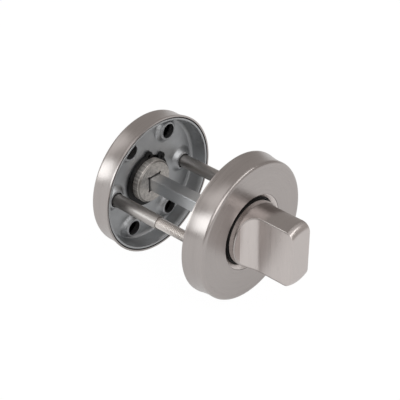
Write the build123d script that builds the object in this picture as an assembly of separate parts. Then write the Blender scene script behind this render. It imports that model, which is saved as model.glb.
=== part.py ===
from build123d import *
import math
import os

os.makedirs("parts", exist_ok=True)

# Thumb turn and emergency release set for a bathroom door, in millimetres.
# The spindle's axis lies along Y. The origin is on that axis, in the plane where the
# thumb-turn rose meets the door. The thumb turn points to -Y, the release to +Y, Z is up.
# Each rose is drawn in a frame of its own: z = 0 at the door, +z away from the door.

# Door
door_gap = 34.5

# Rose covers: spun cups with a slightly flared mouth
rose_d = 52.0
rose_depth = 8.3
cover_wall = 0.6
mouth_land = 0.5
waist_in = 0.5
waist_z = 3.4
wall_in = 0.6
edge_round = 1.15
cover_hole_clearance = 0.1

# Base plates: drawn dishes
plate_sheet = 0.8
plate_gap = 0.35
plate_set = 2.0
plate_draft = 0.9
plate_round = 1.3
plate_rim_round = 0.25

# Screw holes, raised and countersunk, and the locating hole
screw_inset = 7.4
screw_angle = 60.0
screw_hole_d = 4.5
screw_head_d = 7.2
dimple_base_d = 9.6
dimple_top_d = 6.2
dimple_rise = 2.1
dimple_round = 1.4
pin_hole_d = 1.5
pin_hole_x = 3.8
pin_hole_y = 16.4

# Through bolts and sleeve nuts
bolt_d = 3.7
bolt_head_d = 8.0
bolt_reach = 33.0
bolt_slot_w = 1.2
bolt_slot_depth = 1.0
sleeve_d = 4.8
sleeve_length = 23.1
sleeve_bore_clearance = 0.15
sleeve_end_wall = 2.2
sleeve_hole_clearance = 0.4
seat_clearance = 0.1

# Collar and bush round each turn
collar_wall = 1.7
collar_land = 0.1
collar_cone_depth = 1.0
collar_set = 0.1
bush_clearance = 0.05
bush_flange = 0.45
bush_lip_set = 0.5
bush_sleeve_wall = 0.7
bush_lip_wall = 0.25
turn_clearance = 0.1
running_clearance = 0.05

# Turned bodies: thumb turn and release disc
hub_d = 16.2
hub_stand = 3.8
hub_chamfer = 0.6
groove_d = 15.2
groove_gap = 0.05
turn_d = 23.4
foot_stand = 1.9
foot_chamfer = 0.25
turn_stand = 20.5
turn_end_round = 3.2
blade_t = 9.1
blade_waist_t = 8.8
blade_foot_t = 17.2
ramp_rise = 1.5
knee_round = 5.2
blade_edge_round = 0.3

release_stand = 1.0
release_chamfer = 0.4
coin_slot_w = 1.8
coin_slot_l = 15.0
coin_slot_depth = 1.3

# Spindle and its two square holes
spindle_w = 5.0
spindle_chamfer = 0.4
spindle_grip = 13.0
spindle_fit = 0.03
spindle_in_socket = 4.0
socket_clearance = 0.3
socket_end_gap = 0.6
socket_relief_d = 0.9

# Circlips
clip_t = 0.8
clip_wide_r = 10.3
clip_narrow_r = 9.5
clip_fit = 0.05
clip_ear_d = 3.4
clip_ear_r = 9.1
clip_ear_angle = 19.0
clip_hole_d = 1.2
clip_gap_angle = 64.0

# Derived places
rose_r = rose_d / 2
plate_r = rose_r - cover_wall - plate_gap
plate_recess = rose_depth - plate_set
plate_out = plate_recess + plate_sheet
floor_r = plate_r - plate_draft
floor_in = floor_r - plate_sheet
screw_r = rose_r - screw_inset
turn_r = turn_d / 2
bush_in_r = turn_r + turn_clearance
bush_out_r = bush_in_r + bush_lip_wall
collar_in_r = bush_out_r + bush_clearance
collar_out_r = collar_in_r + collar_wall
cover_hole_r = collar_out_r + cover_hole_clearance
hub_r = hub_d / 2
bolt_x = (rose_r + hub_r) / 2
bore_r = hub_r + running_clearance
turn_base = plate_out + bush_flange + running_clearance
hub_end = plate_recess - hub_stand
clip_out = plate_recess - groove_gap
clip_in = clip_out - clip_t
sleeve_hole_d = sleeve_d + 2 * sleeve_hole_clearance
hub_hole_r = bore_r + bush_sleeve_wall + bush_clearance


def ring(profile):
    """Revolve a closed (r, z) profile about the rose's axis."""
    return revolve(Plane.XZ * make_face(profile), Axis.Z)


def tube(r_out, r_in, z0, z1):
    """Plain ring between two heights."""
    body = Pos(0, 0, z0) * Cylinder(r_out, z1 - z0, align=(Align.CENTER, Align.CENTER, Align.MIN))
    if r_in > 0:
        body -= Pos(0, 0, z0) * Cylinder(r_in, z1 - z0, align=(Align.CENTER, Align.CENTER, Align.MIN))
    return body


def cone(r0, r1, z0, z1):
    """Cone from radius r0 at z0 to radius r1 at z1."""
    return Pos(0, 0, z0) * Cone(r0, r1, z1 - z0, align=(Align.CENTER, Align.CENTER, Align.MIN))


def front(part):
    """Place a rose part on the thumb-turn side."""
    return Rot(90, 0, 0) * part


def rear(part):
    """Place a rose part on the release side."""
    return Pos(0, door_gap, 0) * Rot(-90, 0, 0) * part


def cover():
    """Spun cup: flared mouth, shallow waist, rounded front edge, central hole."""
    def skin(t):
        top = rose_depth - t
        bend = edge_round - t
        wall_r = rose_r - wall_in - t
        return [
            Line((rose_r - t, 0), (rose_r - t, mouth_land)),
            ThreePointArc(
                (rose_r - t, mouth_land),
                (rose_r - waist_in - t, waist_z),
                (wall_r, rose_depth - edge_round),
            ),
            RadiusArc((wall_r, rose_depth - edge_round), (wall_r - bend, top), -bend),
            Line((wall_r - bend, top), (cover_hole_r, top)),
        ]

    outer = skin(0)
    inner = skin(cover_wall)
    ends = [
        Line((rose_r, 0), (rose_r - cover_wall, 0)),
        Line((cover_hole_r, rose_depth), (cover_hole_r, rose_depth - cover_wall)),
    ]
    return ring(Curve() + outer + inner + ends)


def bolt_places():
    """Bolts midway between the hub and the rose's edge."""
    return [Pos(-bolt_x, 0, 0), Pos(bolt_x, 0, 0)]


def screw_places():
    x = screw_r * math.cos(math.radians(screw_angle))
    y = screw_r * math.sin(math.radians(screw_angle))
    return [Pos(x, y, 0), Pos(-x, y, 0), Pos(-x, -y, 0), Pos(x, -y, 0)]


def countersink(hole_d, head_d):
    """Cutter for a countersunk hole, its wide end at the plate's outer face."""
    wide = head_d / 2 + seat_clearance
    narrow = hole_d / 2
    past = plate_sheet
    cut = cone(narrow, wide + past, plate_out - (wide - narrow), plate_out + past)
    cut += tube(narrow, 0, 0, plate_out)
    return cut


def dimple():
    """Round-edged rise of the dish's floor towards the door, to be pierced at its top."""
    base = dimple_base_d / 2
    tip = dimple_top_d / 2
    top_z = plate_recess - dimple_rise
    bend = math.atan2(dimple_rise, base - tip)
    reach = base + dimple_round * math.tan(bend / 2)
    root = plate_recess + plate_sheet / 2
    slope = ((2 * reach, plate_recess), (base, plate_recess), (tip, top_z), (0, top_z))
    skin = FilletPolyline(*slope, radius=dimple_round)
    rest = Polyline((0, top_z), (0, root), (reach, root), (reach, plate_recess))
    return ring(skin.edges().sort_by(Axis.X)[:-1] + rest.edges())


def base_plate():
    """Drawn dish with its rim at the door, raised countersunk holes and the hub's hole."""
    r_in = plate_r - plate_sheet
    bend = plate_round + plate_sheet
    outer = FilletPolyline((plate_r, 0), (floor_r, plate_out), (hub_hole_r, plate_out), radius=bend)
    dish = ((r_in, 0), (floor_in, plate_recess), (hub_hole_r, plate_recess))
    inner = FilletPolyline(*dish, radius=plate_round)
    rim = Line((r_in, 0), (plate_r, 0))
    bore = Line((hub_hole_r, plate_recess), (hub_hole_r, plate_out))
    profile = outer.edges() + inner.edges() + rim.edges() + bore.edges()
    body = ring(profile)
    body = fillet(body.edges().group_by(Axis.Z)[0], plate_rim_round)
    boss = dimple()
    outline = Polyline((hub_hole_r, plate_out), (0, plate_out), (0, 0), (plate_r, 0))
    inside = ring(outer.edges() + outline.edges())
    screw_cut = countersink(screw_hole_d, screw_head_d)
    bolt_cut = countersink(sleeve_hole_d, bolt_head_d)
    for place in screw_places() + bolt_places():
        body += place * boss & inside
    for place in screw_places():
        body -= place * screw_cut
    for place in bolt_places():
        body -= place * bolt_cut
    body -= Pos(-pin_hole_x, pin_hole_y, 0) * tube(pin_hole_d / 2, 0, 0, plate_out)
    return body


def collar():
    """Light ring in the cover's hole, standing on the plate, its inside opened out to a cone."""
    top = rose_depth - collar_set
    mouth_r = collar_out_r - collar_land
    body = tube(collar_out_r, collar_in_r, plate_out, top)
    return body - cone(collar_in_r, mouth_r, top - collar_cone_depth, top)


def bush():
    """Nylon bush: sleeve in the plate, flange under the turn and lip round its foot."""
    lip_top = rose_depth - bush_lip_set
    body = tube(bore_r + bush_sleeve_wall, bore_r, plate_recess, plate_out)
    body += tube(bush_out_r, bore_r, plate_out, plate_out + bush_flange)
    body += tube(bush_out_r, bush_in_r, plate_out, lip_top)
    return body


def hub():
    """Hub with the circlip's groove, from its chamfered end to the body above it."""
    body = tube(hub_r, 0, hub_end, turn_base)
    body = chamfer(body.edges().group_by(Axis.Z)[0], hub_chamfer)
    body -= tube(hub_r + 1, groove_d / 2, clip_in - groove_gap, clip_out + groove_gap)
    return body


def side_cut(side, foot, top):
    """Cutter for one milled side: shallow ramp off the foot, hollow bend, flank."""
    root = (side * blade_foot_t / 2, foot)
    waist = (side * blade_waist_t / 2, foot + ramp_rise)
    tip = (side * blade_t / 2, top + 1)
    past = side * (turn_r + 1)
    profile = FilletPolyline(root, waist, tip, radius=knee_round).edges()
    profile += Polyline(tip, (past, top + 1), (past, foot), root).edges()
    return extrude(Plane.XZ * make_face(profile), amount=2 * turn_r, both=True)


def milled_edges(body, foot, top):
    """Edges where the milled sides meet the turned surface and the end."""
    found = []
    for edge in body.edges():
        box = edge.bounding_box()
        across = edge.geom_type == GeomType.LINE and box.size.Z < 0.01 and box.max.Z < top - 0.01
        if box.min.Z > foot - 0.01 and not across and edge.geom_type != GeomType.CIRCLE:
            found.append(edge)
    return found


def thumb_turn():
    """Turned body with a blade left between two milled sides."""
    top = rose_depth + turn_stand
    foot = rose_depth + foot_stand
    body = Rot(0, 0, 90) * tube(turn_r, 0, turn_base, top)
    body = fillet(body.edges().group_by(Axis.Z)[-1], turn_end_round)
    body -= side_cut(-1, foot, top) + side_cut(1, foot, top)
    rims = [edge for edge in body.edges().filter_by(GeomType.CIRCLE) if abs(edge.center().Z - foot) < 0.01]
    body = chamfer(rims, foot_chamfer)
    body = fillet(milled_edges(body, foot, top), blade_edge_round)
    body += hub()
    hole_w = spindle_w + 2 * spindle_fit
    depth = spindle_grip + socket_end_gap
    body -= Pos(0, 0, hub_end) * Box(hole_w, hole_w, depth, align=(Align.CENTER, Align.CENTER, Align.MIN))
    return body


def release_disc():
    """Coin-slotted disc with the hub and its square socket."""
    top = rose_depth + release_stand
    body = tube(turn_r, 0, turn_base, top)
    body = chamfer(body.edges().group_by(Axis.Z)[-1], release_chamfer)
    body += hub()
    slot = Pos(0, 0, top - coin_slot_depth) * Box(
        coin_slot_w, coin_slot_l, coin_slot_depth, align=(Align.CENTER, Align.CENTER, Align.MIN)
    )
    body -= slot
    w = spindle_w + 2 * socket_clearance
    depth = spindle_in_socket + socket_end_gap
    body -= Pos(0, 0, hub_end) * Box(w, w, depth, align=(Align.CENTER, Align.CENTER, Align.MIN))
    for sx in (-1, 1):
        for sy in (-1, 1):
            body -= Pos(sx * w / 2, sy * w / 2, 0) * tube(socket_relief_d / 2, 0, hub_end, hub_end + depth)
    return body


def circlip():
    """Eccentric open ring with two pierced ears."""
    seat_r = groove_d / 2 + clip_fit
    shift = (clip_wide_r - clip_narrow_r) / 2
    outer_r = (clip_wide_r + clip_narrow_r) / 2
    body = Pos(-shift, 0, 0) * tube(outer_r, 0, clip_in, clip_out)
    body -= tube(seat_r, 0, clip_in, clip_out)
    wedge_a = math.radians(clip_ear_angle)
    reach = 2 * clip_wide_r
    mouth = Polyline(
        (0, 0),
        (reach * math.cos(wedge_a), reach * math.sin(wedge_a)),
        (reach * math.cos(wedge_a), -reach * math.sin(wedge_a)),
        close=True,
    )
    body -= Pos(0, 0, clip_in) * extrude(make_face(mouth), amount=clip_t)
    for s in (-1, 1):
        place = Rot(0, 0, s * (clip_ear_angle + 3)) * Pos(clip_ear_r, 0, 0)
        body += place * tube(clip_ear_d / 2, 0, clip_in, clip_out)
    body -= tube(seat_r, 0, clip_in, clip_out)
    for s in (-1, 1):
        place = Rot(0, 0, s * (clip_ear_angle + 3)) * Pos(clip_ear_r, 0, 0)
        body -= place * tube(clip_hole_d / 2, 0, clip_in, clip_out)
    return body


def spindle():
    """Square bar from the thumb turn through the door into the release."""
    y0 = -(hub_end + spindle_grip)
    y1 = door_gap + hub_end + spindle_in_socket
    body = Pos(0, (y0 + y1) / 2, 0) * Box(spindle_w, y1 - y0, spindle_w)
    ends = body.edges().group_by(Axis.Y)
    return chamfer(ends[0] + ends[-1], spindle_chamfer)


def countersunk(shank_d, length):
    """Headed shank, its head flush with the plate's outer face."""
    head_r = bolt_head_d / 2
    shank_r = shank_d / 2
    rise = head_r - shank_r
    body = cone(shank_r, head_r, plate_out - rise, plate_out)
    body += tube(shank_r, 0, plate_out - length, plate_out - rise)
    slot = Box(2 * head_r, bolt_slot_w, bolt_slot_depth, align=(Align.CENTER, Align.CENTER, Align.MAX))
    return body - Pos(0, 0, plate_out) * slot


def bolt():
    return countersunk(bolt_d, plate_out + bolt_reach)


def sleeve_nut():
    body = countersunk(sleeve_d, sleeve_length)
    bore_r2 = bolt_d / 2 + sleeve_bore_clearance
    return body - tube(bore_r2, 0, plate_out - sleeve_length, plate_out - sleeve_end_wall)


left, right = bolt_places()
nodes = {
    "front_cover": front(cover()),
    "front_base_plate": front(base_plate()),
    "front_collar": front(collar()),
    "front_bush": front(bush()),
    "thumb_turn": front(thumb_turn()),
    "front_circlip": front(Rot(0, 0, clip_gap_angle) * circlip()),
    "spindle": spindle(),
    "left_bolt": front(left * bolt()),
    "right_bolt": front(right * bolt()),
    "left_sleeve_nut": rear(left * sleeve_nut()),
    "right_sleeve_nut": rear(right * sleeve_nut()),
    "rear_cover": rear(cover()),
    "rear_base_plate": rear(base_plate()),
    "rear_collar": rear(collar()),
    "rear_bush": rear(bush()),
    "release_disc": rear(release_disc()),
    "rear_circlip": rear(Rot(0, 0, -clip_gap_angle) * circlip()),
}
for name, shape in nodes.items():
    export_step(shape, f"parts/{name}.step")
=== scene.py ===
import math
from functools import cached_property

import bmesh
import bpy
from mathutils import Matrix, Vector


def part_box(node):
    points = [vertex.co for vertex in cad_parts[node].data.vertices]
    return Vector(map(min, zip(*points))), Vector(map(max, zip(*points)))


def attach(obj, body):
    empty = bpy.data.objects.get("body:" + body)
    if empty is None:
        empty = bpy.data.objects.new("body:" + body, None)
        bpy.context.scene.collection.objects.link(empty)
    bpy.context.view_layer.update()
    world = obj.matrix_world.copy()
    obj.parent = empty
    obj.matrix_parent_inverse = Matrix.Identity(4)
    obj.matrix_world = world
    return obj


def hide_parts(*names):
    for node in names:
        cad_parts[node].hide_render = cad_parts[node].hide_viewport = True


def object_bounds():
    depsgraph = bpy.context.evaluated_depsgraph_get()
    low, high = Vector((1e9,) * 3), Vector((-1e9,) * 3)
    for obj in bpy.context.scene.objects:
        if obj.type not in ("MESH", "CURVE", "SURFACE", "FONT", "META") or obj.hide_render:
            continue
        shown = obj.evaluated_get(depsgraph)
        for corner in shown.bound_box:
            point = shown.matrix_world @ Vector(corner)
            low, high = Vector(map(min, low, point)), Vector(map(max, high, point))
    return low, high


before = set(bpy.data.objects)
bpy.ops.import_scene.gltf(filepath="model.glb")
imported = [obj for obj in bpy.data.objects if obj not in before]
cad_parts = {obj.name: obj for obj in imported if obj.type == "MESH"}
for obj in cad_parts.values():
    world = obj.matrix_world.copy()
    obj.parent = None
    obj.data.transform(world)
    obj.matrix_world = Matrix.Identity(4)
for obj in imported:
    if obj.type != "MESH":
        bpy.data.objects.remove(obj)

bl_info = {
    "name": "Thumb Turn Set",
    "version": (1, 0, 0),
    "blender": (4, 5, 0),
    "location": "View3D > Sidebar > Thumb Turn",
    "description": "Gives a bathroom thumb turn and release set its finishes, threads and stage",
    "category": "Object",
}

# Sizes are in metres. Depths are measured along the spindle from the middle of the door.
CAD_BOX = [list(corner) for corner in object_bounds()]

FRONT_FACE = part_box("front_cover")[0].y
REAR_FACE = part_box("rear_cover")[1].y
MID_DOOR = (FRONT_FACE + REAR_FACE) / 2
ROSE_DEPTH = (REAR_FACE - FRONT_FACE) / 2
BLADE_DEPTH = MID_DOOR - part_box("thumb_turn")[0].y
TURN_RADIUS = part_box("release_disc")[1].x
SPINDLE_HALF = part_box("spindle")[1].x
HUB_RADIUS = 0.0081
HUB_CHAMFER = 0.0006

# Points nearer than MERGE are one point, and a point within ON_EDGE of a hole's edge is on it.
MERGE = 0.0000005
ON_EDGE = 0.0001

# Bends flatter than this are shaded smooth.
SMOOTH_BEND = math.radians(32)

# Facets round a bolt's core, and in one turn of its thread.
CORE_STEPS = 48
THREAD_STEPS = 24

# Between these values a noise takes a colour or a gloss from one end to the other.
NOISE_SPAN = (0.3, 0.7)
BRUSHED_TONES = (0.92, 1.07)

# How closely a finish's lines change. Turned lines have a value across them and one round the
# axis. Straight lines have one each for X, Y and Z, and run along the axis with the smallest.
TURNED_LINES = (5200.0, 3.0)
MILLED_LINES = (5200.0, 5200.0, 140.0)
DRAWN_LINES = (4200.0, 110.0, 4200.0)

# A Mix node's first, second and output socket for each kind of value.
MIX_SOCKETS = {"FLOAT": (2, 3, 0), "VECTOR": (4, 5, 1), "RGBA": (6, 7, 2)}


class SteelFinishes(bpy.types.PropertyGroup):
    """Colours and gloss of the set's metals and plastics"""

    satin: bpy.props.FloatVectorProperty(
        name="Satin stainless", description="Colour of the spun roses and the turns",
        subtype="COLOR", size=3, min=0.0, max=1.0, default=(0.425, 0.395, 0.383),
    )
    satin_roughness: bpy.props.FloatProperty(
        name="Satin roughness", description="How matt the brushed stainless is",
        min=0.05, max=1.0, default=0.30, subtype="FACTOR",
    )
    turned_roughness: bpy.props.FloatProperty(
        name="Turned roughness", description="How matt the thumb turn's round surfaces are",
        min=0.05, max=1.0, default=0.19, subtype="FACTOR",
    )
    grain: bpy.props.FloatProperty(
        name="Brushing depth", description="Depth of the finest brushing lines",
        min=0.0, max=0.0001, default=0.0000022, unit="LENGTH",
    )
    zinc: bpy.props.FloatVectorProperty(
        name="Zinc plating", description="Colour of the plated base plates and spindle",
        subtype="COLOR", size=3, min=0.0, max=1.0, default=(0.435, 0.445, 0.455),
    )
    machined: bpy.props.FloatVectorProperty(
        name="Machined steel", description="Colour of the hubs' faced ends",
        subtype="COLOR", size=3, min=0.0, max=1.0, default=(0.46, 0.438, 0.415),
    )
    spring_black: bpy.props.FloatVectorProperty(
        name="Phosphated spring steel", description="Colour of the circlips",
        subtype="COLOR", size=3, min=0.0, max=1.0, default=(0.024, 0.024, 0.025),
    )
    nylon: bpy.props.FloatVectorProperty(
        name="Nylon", description="Colour of the bushes",
        subtype="COLOR", size=3, min=0.0, max=1.0, default=(0.006, 0.006, 0.006),
    )
    bolt_steel: bpy.props.FloatVectorProperty(
        name="Fastener steel", description="Colour of the bolts and sleeve nuts",
        subtype="COLOR", size=3, min=0.0, max=1.0, default=(0.49, 0.468, 0.452),
    )


class SpindleEdges(bpy.types.PropertyGroup):
    """How the square spindle's edges are broken"""

    rounding: bpy.props.FloatProperty(
        name="Long edges", description="Rounding of the spindle's long edges",
        min=0.00005, max=0.0008, default=0.0003, unit="LENGTH", precision=5,
    )
    chamfer: bpy.props.FloatProperty(
        name="End chamfer", description="Chamfer round the spindle's two ends",
        min=0.00005, max=0.0008, default=0.0004, unit="LENGTH", precision=5,
    )


class BoltThread(bpy.types.PropertyGroup):
    """Sizes of the thread cut on the through bolts"""

    major: bpy.props.FloatProperty(
        name="Outside diameter", description="Diameter over the thread's crests",
        min=0.002, max=0.01, default=0.00394, unit="LENGTH", precision=5,
    )
    pitch: bpy.props.FloatProperty(
        name="Pitch", description="Distance from one crest to the next",
        min=0.0003, max=0.003, default=0.0007, unit="LENGTH", precision=5,
    )
    depth: bpy.props.FloatProperty(
        name="Thread depth", description="Height of a crest above its root",
        min=0.0001, max=0.001, default=0.00036, unit="LENGTH", precision=5,
    )
    neck: bpy.props.FloatProperty(
        name="Plain length", description="From the head's face to the start of the thread",
        min=0.0023, max=0.02, default=0.0032, unit="LENGTH", precision=5,
    )
    lead_in: bpy.props.FloatProperty(
        name="Lead-in", description="Length of the plain cone at the bolt's end",
        min=0.0001, max=0.002, default=0.0006, unit="LENGTH", precision=5,
    )


class ScrewHoles(bpy.types.PropertyGroup):
    """The base plates' four screw holes, as they are seen"""

    spacing_across: bpy.props.FloatProperty(
        name="Spacing across", description="Between the holes' centres, along the line of the bolts",
        min=0.01, max=0.04, default=0.0186, unit="LENGTH", precision=5,
    )
    spacing_up: bpy.props.FloatProperty(
        name="Spacing up", description="Between the holes' centres, square to the line of the bolts",
        min=0.01, max=0.04, default=0.0322161, unit="LENGTH", precision=5,
    )
    pierced: bpy.props.FloatProperty(
        name="Pierced radius", description="Radius of the holes in the CAD plate",
        min=0.001, max=0.004, default=0.00225, unit="LENGTH", precision=5,
    )
    opened: bpy.props.FloatProperty(
        name="Opened radius", description="Radius of the holes at the top of the dimples",
        min=0.001, max=0.004, default=0.00278, unit="LENGTH", precision=5,
    )
    relief: bpy.props.FloatProperty(
        name="Relief", description="How far the countersink behind widens each hole",
        min=0.0, max=0.001, default=0.0004, unit="LENGTH", precision=5,
    )
    reach: bpy.props.FloatProperty(
        name="Reach", description="Radius beyond which the plate keeps its CAD shape",
        min=0.002, max=0.005, default=0.0037, unit="LENGTH", precision=5,
    )


class StudioView(bpy.types.PropertyGroup):
    """Camera, floor and room"""

    aim: bpy.props.FloatVectorProperty(
        name="Aim", description="Point that the camera looks at",
        subtype="TRANSLATION", unit="LENGTH", size=3, default=(0.001302, 0.01649, 0.000904),
    )
    bearing: bpy.props.FloatProperty(
        name="Bearing", description="Camera's bearing from straight in front, to the left",
        subtype="ANGLE", default=math.radians(47.99),
    )
    height: bpy.props.FloatProperty(
        name="Elevation", description="Camera's angle above the spindle",
        subtype="ANGLE", default=math.radians(34.71),
    )
    distance: bpy.props.FloatProperty(
        name="Distance", description="From the camera to the point that it looks at",
        min=0.1, default=0.42418, unit="LENGTH",
    )
    lens: bpy.props.FloatProperty(
        name="Lens", description="Focal length on a 36 mm wide sensor",
        min=20.0, default=110.26, unit="CAMERA",
    )
    floor: bpy.props.FloatProperty(
        name="Floor", description="Side of the square floor",
        min=0.5, default=3.2, unit="LENGTH",
    )
    room: bpy.props.FloatVectorProperty(
        name="Room", description="Tone of the studio above and around the set",
        subtype="COLOR", size=3, min=0.0, max=1.0, default=(0.46, 0.434, 0.416),
    )


def shade(colour, factor):
    """A colour made lighter or darker, with its alpha."""
    return (*(channel * factor for channel in colour[:3]), 1.0)


class Nodes:
    """A node tree in the making"""

    def __init__(self, owner):
        owner.use_nodes = True
        self.tree = owner.node_tree

    def node(self, kind, inputs=(), **settings):
        """Add a node; an input is another node's output or a plain value."""
        made = self.tree.nodes.new(kind)
        for setting, value in settings.items():
            setattr(made, setting, value)
        for key, value in dict(inputs).items():
            if isinstance(value, bpy.types.NodeSocket):
                self.tree.links.new(value, made.inputs[key])
            else:
                made.inputs[key].default_value = value
        return made

    def calc(self, operation, *values):
        """Work out one number from others."""
        return self.node("ShaderNodeMath", dict(enumerate(values)), operation=operation).outputs[0]

    def mix(self, kind, share, first, second):
        """Go from the first value to the second as the share goes from 0 to 1."""
        low, high, out = MIX_SOCKETS[kind]
        inputs = {0: share, low: first, high: second}
        return self.node("ShaderNodeMix", inputs, data_type=kind).outputs[out]

    def vector(self, x, y, z):
        return self.node("ShaderNodeCombineXYZ", {0: x, 1: y, 2: z}).outputs[0]

    def remap(self, value, low, high, to_low=0.0, to_high=1.0):
        inputs = {"Value": value, "From Min": low, "From Max": high, "To Min": to_low, "To Max": to_high}
        return self.node("ShaderNodeMapRange", inputs).outputs[0]

    def above(self, value, edge, soft):
        """A mask: 1 where the value is over the edge, 0 below it, soft to either side."""
        return self.remap(value, edge - soft, edge + soft)

    def below(self, value, edge, soft):
        """A mask: 1 where the value is under the edge, 0 above it, soft to either side."""
        return self.remap(value, edge - soft, edge + soft, 1.0, 0.0)


class Finish(Nodes):
    """A metal's or plastic's material, read from the piece's own Object coordinates"""

    def __init__(self, name, colour, roughness, metallic=1.0):
        self.material = bpy.data.materials.new(name)
        super().__init__(self.material)
        self.shader = self.tree.nodes["Principled BSDF"]
        self.colour = colour
        self.roughness = roughness
        self.put("Base Color", shade(colour, 1.0))
        self.put("Roughness", roughness)
        self.put("Metallic", metallic)
        self.place = self.node("ShaderNodeTexCoord").outputs["Object"]

    def put(self, socket, value):
        """Give the shader a value that is the same all over."""
        self.shader.inputs[socket].default_value = value

    def wire(self, socket, output):
        """Give the shader a value that varies over the piece."""
        self.tree.links.new(output, self.shader.inputs[socket])

    @cached_property
    def axes(self):
        """X, Y and Z of the place"""
        return tuple(self.node("ShaderNodeSeparateXYZ", {0: self.place}).outputs)

    @cached_property
    def radius(self):
        """Distance from the spindle's axis"""
        x, _, z = self.axes
        return self.calc("SQRT", self.calc("ADD", self.calc("MULTIPLY", x, x), self.calc("MULTIPLY", z, z)))

    @cached_property
    def depth(self):
        """Distance from the middle of the door, to either side"""
        return self.calc("ABSOLUTE", self.calc("SUBTRACT", self.axes[1], MID_DOOR))

    def straight(self, scales):
        """Place for a noise whose lines run straight, along the axis of the smallest scale."""
        return self.vector(*(self.calc("MULTIPLY", axis, scale) for axis, scale in zip(self.axes, scales)))

    def turned(self, scales):
        """Place for a noise whose lines run round the spindle's axis, on faces and walls alike."""
        across, around = scales
        nearest = 0.0005
        x, _, z = self.axes
        safe = self.calc("MAXIMUM", self.radius, nearest)
        return self.vector(
            self.calc("MULTIPLY", self.calc("DIVIDE", x, safe), around),
            self.calc("MULTIPLY", self.calc("DIVIDE", z, safe), around),
            self.calc("MULTIPLY", self.calc("SUBTRACT", self.depth, self.radius), across),
        )

    def noise(self, where, scale=1.0, detail=3.0, roughness=0.65):
        inputs = {"Vector": where, "Scale": scale, "Detail": detail, "Roughness": roughness}
        return self.node("ShaderNodeTexNoise", inputs).outputs["Fac"]

    def wide_noise(self, where, scale):
        """Soft clouds without fine detail"""
        return self.noise(where, scale, detail=2.0, roughness=0.5)

    def together(self, first, second, share):
        """Two noises in one, the first with the given share."""
        rest = self.calc("MULTIPLY", second, 1.0 - share)
        return self.calc("MULTIPLY_ADD", first, share, rest)

    def toned(self, noise, colour, tones, span=NOISE_SPAN):
        """A colour that a noise takes from its darkest to its lightest tone."""
        return self.mix("RGBA", self.remap(noise, *span), *(shade(colour, tone) for tone in tones))

    def uneven(self, noise, roughness, spread):
        """A roughness that a noise moves by the spread to either side."""
        return self.remap(noise, *NOISE_SPAN, roughness - spread, roughness + spread)

    def bump(self, height, distance):
        self.wire("Normal", self.node("ShaderNodeBump", {"Height": height, "Distance": distance}).outputs[0])

    def grained(self, noise, tones, spread, relief):
        """Let one noise vary the finish's colour, gloss and surface."""
        self.wire("Base Color", self.toned(noise, self.colour, tones))
        self.wire("Roughness", self.uneven(noise, self.roughness, spread))
        self.bump(noise, relief)

    def mottled(self, size, relief):
        """A fine even mottle, as on blackened or moulded pieces"""
        noise = self.noise(self.place, size, roughness=0.6)
        self.grained(noise, tones=(0.8, 1.25), spread=0.06, relief=relief)

    def brushed_round(self, share):
        """Stretch the highlights across lines that run round the spindle's axis."""
        quarter_turn = 0.25
        x, _, z = self.axes
        run = self.vector(z, 0.0, self.calc("MULTIPLY", x, -1.0))
        placed = self.node(
            "ShaderNodeVectorTransform", {0: run}, vector_type="VECTOR",
            convert_from="OBJECT", convert_to="WORLD",
        ).outputs[0]
        self.wire("Tangent", self.node("ShaderNodeVectorMath", {0: placed}, operation="NORMALIZE").outputs[0])
        self.put("Anisotropic", share)
        self.put("Anisotropic Rotation", quarter_turn)


def satin_rose(finishes):
    """Brushed round on the outside, with painted shade darkening the inside of the cup."""
    finish = Finish("satin_rose", finishes.satin, finishes.satin_roughness)
    lines = finish.turned(TURNED_LINES)
    fine = finish.noise(lines)
    tone = finish.together(fine, finish.wide_noise(lines, scale=0.12), share=0.6)

    in_wall = 0.0004
    cup_radius = 0.0246
    behind_face = finish.below(finish.depth, ROSE_DEPTH - in_wall, soft=0.0001)
    in_cup = finish.below(finish.radius, cup_radius, soft=0.0002)
    brushed = finish.toned(tone, finish.colour, BRUSHED_TONES)
    # Painted shade: inside the cup, behind the face, the steel is darkened nearly to black.
    cup_shade = shade(finish.colour, 0.08)
    inside = finish.calc("MULTIPLY", behind_face, in_cup)
    finish.wire("Base Color", finish.mix("RGBA", inside, brushed, cup_shade))
    finish.wire("Roughness", finish.uneven(tone, finish.roughness, spread=0.04))
    finish.bump(fine, finishes.grain)
    finish.brushed_round(share=0.6)
    return finish.material


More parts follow.
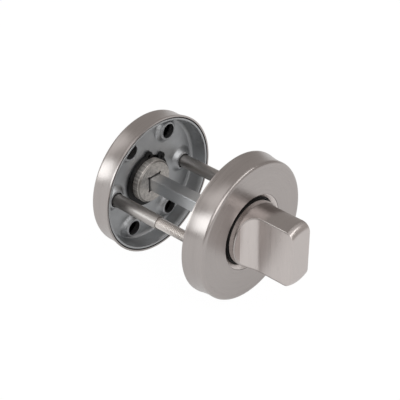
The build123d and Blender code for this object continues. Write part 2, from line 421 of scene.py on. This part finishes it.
def satin_turn(finishes):
    """Turned foot and rim, and a blade that is milled and brushed across, with matt eased edges. The turned
    round surfaces and the blade's end carry painted shade.
    """
    colour = shade(finishes.satin, 1.43)
    finish = Finish("satin_turn", colour, finishes.satin_roughness)
    round_band = 0.00045
    on_round = finish.above(finish.radius, TURN_RADIUS - round_band, soft=0.00015)
    where = finish.mix("VECTOR", on_round, finish.straight(MILLED_LINES), finish.turned(TURNED_LINES))
    fine = finish.noise(where)
    tone = finish.together(fine, finish.wide_noise(where, scale=0.15), share=0.6)

    end_band = 0.00045
    at_end = finish.above(finish.depth, BLADE_DEPTH - end_band, soft=0.00035)
    flanks = finish.toned(tone, colour, (0.93, 1.06))
    # Painted shade: the turned round surfaces, the foot and the blade's rim, are darker than the milled
    # flanks.
    shaded_round = finish.toned(tone, colour, (0.68, 0.78))
    # Painted shade: the blade's flat end is a little darker than its flanks.
    end = shade(colour, 0.92)
    blade = finish.mix("RGBA", at_end, flanks, end)
    finish.wire("Base Color", finish.mix("RGBA", on_round, blade, shaded_round))

    eased_band = 0.0005
    rim_band = 0.000065
    above_foot = 0.0021
    from_flank = finish.above(finish.radius, TURN_RADIUS - eased_band, soft=0.0001)
    at_rim = finish.above(finish.radius, TURN_RADIUS - rim_band, soft=0.000035)
    on_blade = finish.above(finish.depth, ROSE_DEPTH + above_foot, soft=0.0002)
    eased = finish.calc("MULTIPLY", finish.calc("SUBTRACT", from_flank, at_rim), on_blade)
    eased_gloss = 0.6
    milled_gloss = finish.uneven(tone, finish.roughness, spread=0.04)
    turned_gloss = finish.uneven(tone, finishes.turned_roughness, spread=0.02)
    gloss = finish.mix("FLOAT", on_round, milled_gloss, turned_gloss)
    finish.wire("Roughness", finish.mix("FLOAT", eased, gloss, eased_gloss))
    finish.bump(fine, finishes.grain)
    return finish.material


def zinc_plate(finishes):
    """Plated sheet with soft clouds of tone and a fine mottle in its gloss."""
    finish = Finish("zinc_plate", finishes.zinc, 0.46)
    mottle = finish.noise(finish.place, scale=420.0, roughness=0.6)
    cloud = finish.wide_noise(finish.place, scale=130.0)
    finish.wire("Base Color", finish.toned(cloud, finish.colour, (0.92, 1.06)))
    finish.wire("Roughness", finish.uneven(mottle, finish.roughness, spread=0.04))
    finish.bump(mottle, distance=0.000004)
    return finish.material


def machined_hub(finishes):
    """Faced hub end with its blotchy tool marks, a streaked wall painted lighter, painted shade on the
    chamfer and a painted shadow round the square hole; the disc outside is satin.
    """
    steel = finishes.machined
    finish = Finish("machined_hub", steel, 0.42)
    fine = finish.noise(finish.turned((3600.0, 4.0)))
    blotch = finish.noise(finish.place, scale=900.0, roughness=0.7)
    streak = finish.noise(finish.straight((1500.0, 120.0, 1500.0)), detail=2.0, roughness=0.6)
    tone = finish.together(fine, blotch, share=0.4)

    into_wall = 0.00008
    past_wall = 0.0004
    from_wall = finish.above(finish.radius, HUB_RADIUS - into_wall, soft=0.00004)
    beyond = finish.above(finish.radius, HUB_RADIUS + past_wall, soft=0.0001)
    on_wall = finish.calc("SUBTRACT", from_wall, beyond)
    from_chamfer = finish.above(finish.radius, HUB_RADIUS - HUB_CHAMFER, soft=0.0001)
    on_chamfer = finish.calc("SUBTRACT", from_chamfer, from_wall)

    # Painted shadow: a near-black band on the hub's face round the square hole, wider than the real gap to
    # the spindle.
    shadow_band = 0.0004
    x, _, z = finish.axes
    off_axis = finish.calc("MAXIMUM", finish.calc("ABSOLUTE", x), finish.calc("ABSOLUTE", z))
    in_shadow_band = finish.below(off_axis, SPINDLE_HALF + shadow_band, soft=0.0001)
    disc_depth = 0.0025
    outside = finish.above(finish.depth, ROSE_DEPTH - disc_depth, soft=0.0005)

    faced = finish.toned(tone, steel, (0.66, 1.24), span=(0.38, 0.62))
    # Painted light: the hub's wall is painted lighter than its face, over its own streaks.
    wall = finish.toned(streak, steel, (1.15, 1.95), span=(0.35, 0.65))
    # Painted shade: the chamfer round the hub's end is darkened to hide its highlight.
    shaded_chamfer = shade(steel, 0.5)
    shadow = shade(steel, 0.02)
    satin = finish.toned(fine, finishes.satin, BRUSHED_TONES)
    colour = finish.mix("RGBA", on_chamfer, faced, shaded_chamfer)
    colour = finish.mix("RGBA", in_shadow_band, colour, shadow)
    colour = finish.mix("RGBA", on_wall, colour, wall)
    finish.wire("Base Color", finish.mix("RGBA", outside, colour, satin))

    wall_gloss = 0.55
    gloss = finish.mix("FLOAT", on_wall, finish.uneven(blotch, finish.roughness, spread=0.08), wall_gloss)
    finish.wire("Roughness", finish.mix("FLOAT", outside, gloss, finishes.satin_roughness))
    marks_kept = finish.remap(outside, 0.0, 1.0, 1.0, 0.1)
    finish.bump(finish.calc("MULTIPLY", tone, marks_kept), distance=0.000015)
    return finish.material


def bright_collar(finishes):
    """Light ring, turned all over."""
    finish = Finish("bright_collar", shade(finishes.satin, 1.5), 0.24)
    lines = finish.noise(finish.turned((4000.0, 3.0)), roughness=0.6)
    finish.grained(lines, tones=(0.9, 1.08), spread=0.04, relief=0.000004)
    return finish.material


def black_nylon(finishes):
    """Moulded bush, nearly without gloss."""
    finish = Finish("black_nylon", finishes.nylon, 0.6, metallic=0.0)
    finish.put("Specular IOR Level", 0.15)
    finish.mottled(size=1500.0, relief=0.000004)
    return finish.material


def phosphated_clip(finishes):
    """Blackened spring steel."""
    finish = Finish("phosphated_clip", finishes.spring_black, 0.42)
    finish.mottled(size=900.0, relief=0.00001)
    return finish.material


def drawn_bar(name, colour, roughness, contrast, relief):
    """Drawn or rolled stock, its lines along the spindle's axis."""
    finish = Finish(name, colour, roughness)
    lines = finish.noise(finish.straight(DRAWN_LINES), roughness=0.6)
    finish.grained(lines, tones=(1.0 - contrast, 1.0 + contrast), spread=0.05, relief=relief)
    return finish.material


def dress(names, material):
    """Give CAD pieces a finish."""
    for name in names:
        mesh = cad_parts[name].data
        mesh.materials.clear()
        mesh.materials.append(material)


def merged_copy(node):
    """A CAD piece as one closed mesh, free to be changed."""
    bm = bmesh.new()
    bm.from_mesh(node.data)
    bm.transform(node.matrix_world)
    bmesh.ops.remove_doubles(bm, verts=bm.verts, dist=MERGE)
    return bm


def finished_piece(name, bm, material, body, node_name):
    """Turn a bmesh into a smooth piece that rides on a body in a CAD node's place."""
    bmesh.ops.remove_doubles(bm, verts=bm.verts, dist=MERGE)
    bmesh.ops.recalc_face_normals(bm, faces=bm.faces)
    mesh = bpy.data.meshes.new(name)
    bm.to_mesh(mesh)
    bm.free()
    for face in mesh.polygons:
        face.use_smooth = True
    mesh.set_sharp_from_angle(angle=SMOOTH_BEND)
    mesh.materials.append(material)
    piece = bpy.data.objects.new(name, mesh)
    bpy.context.scene.collection.objects.link(piece)
    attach(piece, body)
    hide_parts(node_name)


class THUMBTURN_OT_roses(bpy.types.Operator):
    """Give the two spun covers their satin stainless"""

    bl_idname = "thumbturn.roses"
    bl_label = "Roses"

    def execute(self, context):
        dress(("front_cover", "rear_cover"), satin_rose(context.scene.steel_finishes))
        return {"FINISHED"}


def opened_radius(radius, land, holes):
    """Where a point at this radius goes when the hole's edge is opened out to the land."""
    if radius <= holes.pierced + ON_EDGE:
        return land
    share = (radius - holes.pierced) / (holes.reach - holes.pierced)
    return land + share * (holes.reach - land)


def widen_hole(bm, across, up, holes):
    """Open one screw hole out to nearly the top of its dimple."""
    near = []
    for vert in bm.verts:
        away = Vector((vert.co.x - across, 0.0, vert.co.z - up))
        if away.length < holes.reach:
            near.append((vert, away, away.length))
    on_hole = [vert for vert, away, radius in near if radius < holes.pierced + ON_EDGE]
    door_side = min(abs(vert.co.y - MID_DOOR) for vert in on_hole)
    for vert, away, radius in near:
        land = holes.opened
        if abs(vert.co.y - MID_DOOR) > door_side + ON_EDGE:
            land += holes.relief
        vert.co += away * (opened_radius(radius, land, holes) / radius - 1.0)


class THUMBTURN_OT_base_plates(bpy.types.Operator):
    """Widen the base plates' screw holes and zinc plate them"""

    bl_idname = "thumbturn.base_plates"
    bl_label = "Base plates"

    def execute(self, context):
        material = zinc_plate(context.scene.steel_finishes)
        holes = context.scene.screw_holes
        for side in ("front", "rear"):
            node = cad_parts[side + "_base_plate"]
            plate = merged_copy(node)
            for across in (-holes.spacing_across / 2, holes.spacing_across / 2):
                for up in (-holes.spacing_up / 2, holes.spacing_up / 2):
                    widen_hole(plate, across, up, holes)
            finished_piece(side + "_pierced_plate", plate, material, "rose_set", node.name)
        return {"FINISHED"}


class THUMBTURN_OT_turns(bpy.types.Operator):
    """Finish the thumb turn and the release disc"""

    bl_idname = "thumbturn.turns"
    bl_label = "Turns"

    def execute(self, context):
        finishes = context.scene.steel_finishes
        dress(("thumb_turn",), satin_turn(finishes))
        dress(("release_disc",), machined_hub(finishes))
        return {"FINISHED"}


class THUMBTURN_OT_bearings(bpy.types.Operator):
    """Finish the collars and the nylon bushes"""

    bl_idname = "thumbturn.bearings"
    bl_label = "Collars and bushes"

    def execute(self, context):
        finishes = context.scene.steel_finishes
        dress(("front_collar", "rear_collar"), bright_collar(finishes))
        dress(("front_bush", "rear_bush"), black_nylon(finishes))
        return {"FINISHED"}


class THUMBTURN_OT_circlips(bpy.types.Operator):
    """Blacken the circlips"""

    bl_idname = "thumbturn.circlips"
    bl_label = "Circlips"

    def execute(self, context):
        dress(("front_circlip", "rear_circlip"), phosphated_clip(context.scene.steel_finishes))
        return {"FINISHED"}


def break_edges(bm, edges, width, segments):
    """Chamfer edges with one segment, or round them with several."""
    bmesh.ops.bevel(
        bm, geom=edges, offset=width, offset_type="OFFSET", affect="EDGES", segments=segments,
        profile=0.5, material=-1,
    )


class THUMBTURN_OT_spindle(bpy.types.Operator):
    """Draw the square spindle with its softly rounded long edges"""

    bl_idname = "thumbturn.spindle"
    bl_label = "Spindle"

    def execute(self, context):
        broken = context.scene.spindle_edges
        low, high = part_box("spindle")
        bar = bmesh.new()
        bmesh.ops.create_cube(bar, size=1.0)
        bmesh.ops.scale(bar, verts=bar.verts, vec=high - low)
        bmesh.ops.translate(bar, verts=bar.verts, vec=(low + high) / 2)
        half_length = (high.y - low.y) / 2
        around_ends = [edge for edge in bar.edges if edge.calc_length() < half_length]
        break_edges(bar, around_ends, broken.chamfer, segments=1)
        along = [edge for edge in bar.edges if edge.calc_length() > half_length]
        break_edges(bar, along, broken.rounding, segments=4)
        colour = shade(context.scene.steel_finishes.zinc, 1.45)
        material = drawn_bar("zinc_spindle", colour, roughness=0.36, contrast=0.03, relief=0.000001)
        finished_piece("drawn_spindle", bar, material, "turn", "spindle")
        return {"FINISHED"}


class THUMBTURN_OT_sleeve_nuts(bpy.types.Operator):
    """Finish the two sleeve nuts"""

    bl_idname = "thumbturn.sleeve_nuts"
    bl_label = "Sleeve nuts"

    def execute(self, context):
        colour = shade(context.scene.steel_finishes.bolt_steel, 0.86)
        material = drawn_bar("sleeve_steel", colour, roughness=0.43, contrast=0.12, relief=0.0000015)
        dress(("left_sleeve_nut", "right_sleeve_nut"), material)
        return {"FINISHED"}


def cut_off(bm, y, centre):
    """Cut a bolt off square, close its end and give the end's radius."""
    bmesh.ops.bisect_plane(
        bm, geom=bm.verts[:] + bm.edges[:] + bm.faces[:], plane_co=(0.0, y, 0.0),
        plane_no=(0.0, 1.0, 0.0), clear_outer=True,
    )
    rim = [edge for edge in bm.edges if edge.is_boundary]
    bmesh.ops.holes_fill(bm, edges=rim, sides=0)
    return max((vert.co - centre).xz.length for edge in rim for vert in edge.verts)


def turned_core(bm, centre, outline):
    """Turn a closed core from (radius, y) points, the first and last on the axis."""
    verts = [bm.verts.new(centre + Vector((radius, y, 0.0))) for radius, y in outline]
    edges = [bm.edges.new(pair) for pair in zip(verts, verts[1:])]
    bmesh.ops.spin(
        bm, geom=verts + edges, cent=centre, axis=(0.0, 1.0, 0.0), dvec=(0.0, 0.0, 0.0),
        angle=2 * math.pi, steps=CORE_STEPS, use_merge=True,
    )


def wound_ridge(bm, centre, section, pitch, turns):
    """Wind a section of (radius, y) points along a helix, closed at both ends."""
    verts = [bm.verts.new(centre + Vector((radius, y, 0.0))) for radius, y in section]
    bm.faces.new(verts)
    edges = [bm.edges.get(pair) for pair in zip(verts, verts[1:] + verts[:1])]
    last = bmesh.ops.spin(
        bm, geom=verts + edges, cent=centre, axis=(0.0, 1.0, 0.0), dvec=(0.0, pitch / THREAD_STEPS, 0.0),
        angle=2 * math.pi * turns, steps=THREAD_STEPS * turns, use_merge=False,
    )["geom_last"]
    ends = [item for item in last if isinstance(item, bmesh.types.BMVert)]
    bm.faces.new(sorted(ends, key=lambda vert: vert.co.y))


def threaded_bolt(node, thread):
    """The bolt's own head and neck, then a shank with a helical thread."""
    low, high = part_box(node.name)
    centre = Vector(((low.x + high.x) / 2, 0.0, (low.z + high.z) / 2))
    neck = low.y + thread.neck
    bm = merged_copy(node)
    neck_radius = cut_off(bm, neck, centre)

    crest = thread.major / 2
    root = crest - thread.depth
    inset = 0.00001
    shank = neck_radius - inset
    overlap = 0.0003
    start = neck + shank - root
    cone = high.y - thread.lead_in
    taper = 0.0005
    core = (
        (0.0, neck - overlap), (shank, neck - overlap), (shank, neck), (root, start), (root, cone),
        (root - taper, high.y), (0.0, high.y),
    )
    turned_core(bm, centre, core)

    flat = thread.pitch / 8
    rise = (thread.pitch - 2 * flat) / 2
    sunk = 0.00005
    ridge = (
        (root - sunk, start), (crest, start + rise), (crest, start + rise + flat),
        (root - sunk, start + 2 * rise + flat),
    )
    turns = int((cone - start) / thread.pitch) - 1
    wound_ridge(bm, centre, ridge, thread.pitch, turns)
    return bm


class THUMBTURN_OT_bolts(bpy.types.Operator):
    """Cut the thread on the two through bolts"""

    bl_idname = "thumbturn.bolts"
    bl_label = "Bolts"

    def execute(self, context):
        colour = shade(context.scene.steel_finishes.bolt_steel, 1.6)
        material = drawn_bar("bolt_steel", colour, roughness=0.34, contrast=0.09, relief=0.000003)
        for side in ("left", "right"):
            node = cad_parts[side + "_bolt"]
            bolt = threaded_bolt(node, context.scene.bolt_thread)
            finished_piece(side + "_threaded_bolt", bolt, material, "rose_set", node.name)
        return {"FINISHED"}


class THUMBTURN_OT_stage(bpy.types.Operator):
    """Set up the floor, the lamps, the room and the camera"""

    bl_idname = "thumbturn.stage"
    bl_label = "Stage"

    def execute(self, context):
        view = context.scene.studio_view
        context.scene.view_settings.view_transform = "Standard"
        self.place_camera(context.scene, view)
        self.lay_floor(view.floor)
        self.add_lamp(
            "window", direction=(-0.775, 0.55, 0.315), distance=0.75, size=(0.60, 0.32), power=1.6,
            tint=(0.95, 0.99, 1.0),
        )
        self.add_lamp("skylight", direction=(-0.33, 0.55, 0.77), distance=0.75, size=(0.60, 0.30), power=0.45)
        self.add_lamp("fill", direction=(-0.50, -0.75, 0.75), distance=0.9, size=(0.7, 0.7), power=3.0)
        self.add_lamp("edge", direction=(0.33, -0.44, 0.80), distance=0.8, size=(0.60, 0.28), power=1.15)
        self.set_room(context.scene, view.room)
        return {"FINISHED"}

    def place_camera(self, scene, view):
        level = math.cos(view.height)
        back = Vector(
            (-math.sin(view.bearing) * level, -math.cos(view.bearing) * level, math.sin(view.height))
        )
        camera = bpy.data.objects.new("camera", bpy.data.cameras.new("camera"))
        scene.collection.objects.link(camera)
        camera.data.sensor_width = 36.0
        camera.data.lens = view.lens
        camera.data.clip_start = 0.01
        camera.location = Vector(view.aim) + back * view.distance
        camera.rotation_euler = back.to_track_quat("Z", "Y").to_euler()
        scene.camera = camera

    def lay_floor(self, side):
        """A pale floor just under the set, white to the camera and half as bright in the metal."""
        clearance = 0.00002
        bm = bmesh.new()
        bmesh.ops.create_grid(bm, x_segments=2, y_segments=2, size=side / 2)
        bmesh.ops.translate(bm, verts=bm.verts, vec=(0.0, MID_DOOR, CAD_BOX[0][2] - clearance))
        mesh = bpy.data.meshes.new("floor")
        bm.to_mesh(mesh)
        bm.free()
        floor = bpy.data.objects.new("floor", mesh)
        bpy.context.scene.collection.objects.link(floor)

        material = bpy.data.materials.new("white_floor")
        made = Nodes(material)
        made.tree.nodes.clear()
        pale = (0.86, 0.86, 0.86, 1.0)
        seen_share = 0.95
        mirrored_share = 0.5
        paint = made.node("ShaderNodeBsdfDiffuse", {"Color": pale}).outputs[0]
        glow = made.node("ShaderNodeEmission", {"Strength": 1.025}).outputs[0]
        ray = made.node("ShaderNodeLightPath").outputs
        seen = made.calc("ADD", ray["Is Camera Ray"], ray["Is Transmission Ray"])
        direct = made.calc("MULTIPLY", seen, seen_share)
        share = made.calc("MULTIPLY_ADD", ray["Is Glossy Ray"], mirrored_share, direct)
        surface = made.node("ShaderNodeMixShader", {0: share, 1: paint, 2: glow}).outputs[0]
        made.node("ShaderNodeOutputMaterial", {"Surface": surface})
        mesh.materials.append(material)

    def add_lamp(self, name, direction, distance, size, power, tint=(1.0, 1.0, 1.0)):
        """A soft box that faces the middle of the door."""
        data = bpy.data.lights.new(name, "AREA")
        data.shape = "RECTANGLE"
        data.size, data.size_y = size
        data.energy = power
        data.color = tint
        lamp = bpy.data.objects.new(name, data)
        bpy.context.scene.collection.objects.link(lamp)
        away = Vector(direction).normalized()
        lamp.location = Vector((0.0, MID_DOOR, 0.0)) + away * distance
        lamp.rotation_euler = away.to_track_quat("Z", "Y").to_euler()

    def set_room(self, scene, tone):
        """The room's tone lights the set, and the camera sees plain white."""
        scene.world = bpy.data.worlds.new("studio")
        made = Nodes(scene.world)
        made.tree.nodes.clear()
        room = made.node("ShaderNodeBackground", {"Color": shade(tone, 1.0)}).outputs[0]
        white = made.node("ShaderNodeBackground", {"Color": (1.0, 1.0, 1.0, 1.0)}).outputs[0]
        seen = made.node("ShaderNodeLightPath").outputs["Is Camera Ray"]
        surface = made.node("ShaderNodeMixShader", {0: seen, 1: room, 2: white}).outputs[0]
        made.node("ShaderNodeOutputWorld", {"Surface": surface})


STEPS = (
    THUMBTURN_OT_roses,
    THUMBTURN_OT_base_plates,
    THUMBTURN_OT_turns,
    THUMBTURN_OT_bearings,
    THUMBTURN_OT_circlips,
    THUMBTURN_OT_spindle,
    THUMBTURN_OT_sleeve_nuts,
    THUMBTURN_OT_bolts,
    THUMBTURN_OT_stage,
)

SETTINGS = {
    "steel_finishes": SteelFinishes,
    "spindle_edges": SpindleEdges,
    "bolt_thread": BoltThread,
    "screw_holes": ScrewHoles,
    "studio_view": StudioView,
}


class THUMBTURN_PT_set(bpy.types.Panel):
    """Sizes, colours and steps of the thumb turn set"""

    bl_label = "Thumb turn"
    bl_space_type = "VIEW_3D"
    bl_region_type = "UI"
    bl_category = "Thumb Turn"

    def draw(self, context):
        for name, group in SETTINGS.items():
            box = self.layout.box()
            for setting in group.__annotations__:
                box.prop(getattr(context.scene, name), setting)
        for step in STEPS:
            self.layout.operator(step.bl_idname)


def register():
    for name, group in SETTINGS.items():
        bpy.utils.register_class(group)
        setattr(bpy.types.Scene, name, bpy.props.PointerProperty(type=group))
    for step in STEPS:
        bpy.utils.register_class(step)
    bpy.utils.register_class(THUMBTURN_PT_set)


def unregister():
    bpy.utils.unregister_class(THUMBTURN_PT_set)
    for step in reversed(STEPS):
        bpy.utils.unregister_class(step)
    for name, group in SETTINGS.items():
        delattr(bpy.types.Scene, name)
        bpy.utils.unregister_class(group)


def main():
    register()
    for step in STEPS:
        group, name = step.bl_idname.split(".")
        getattr(getattr(bpy.ops, group), name)()


if __name__ == "__main__":
    main()
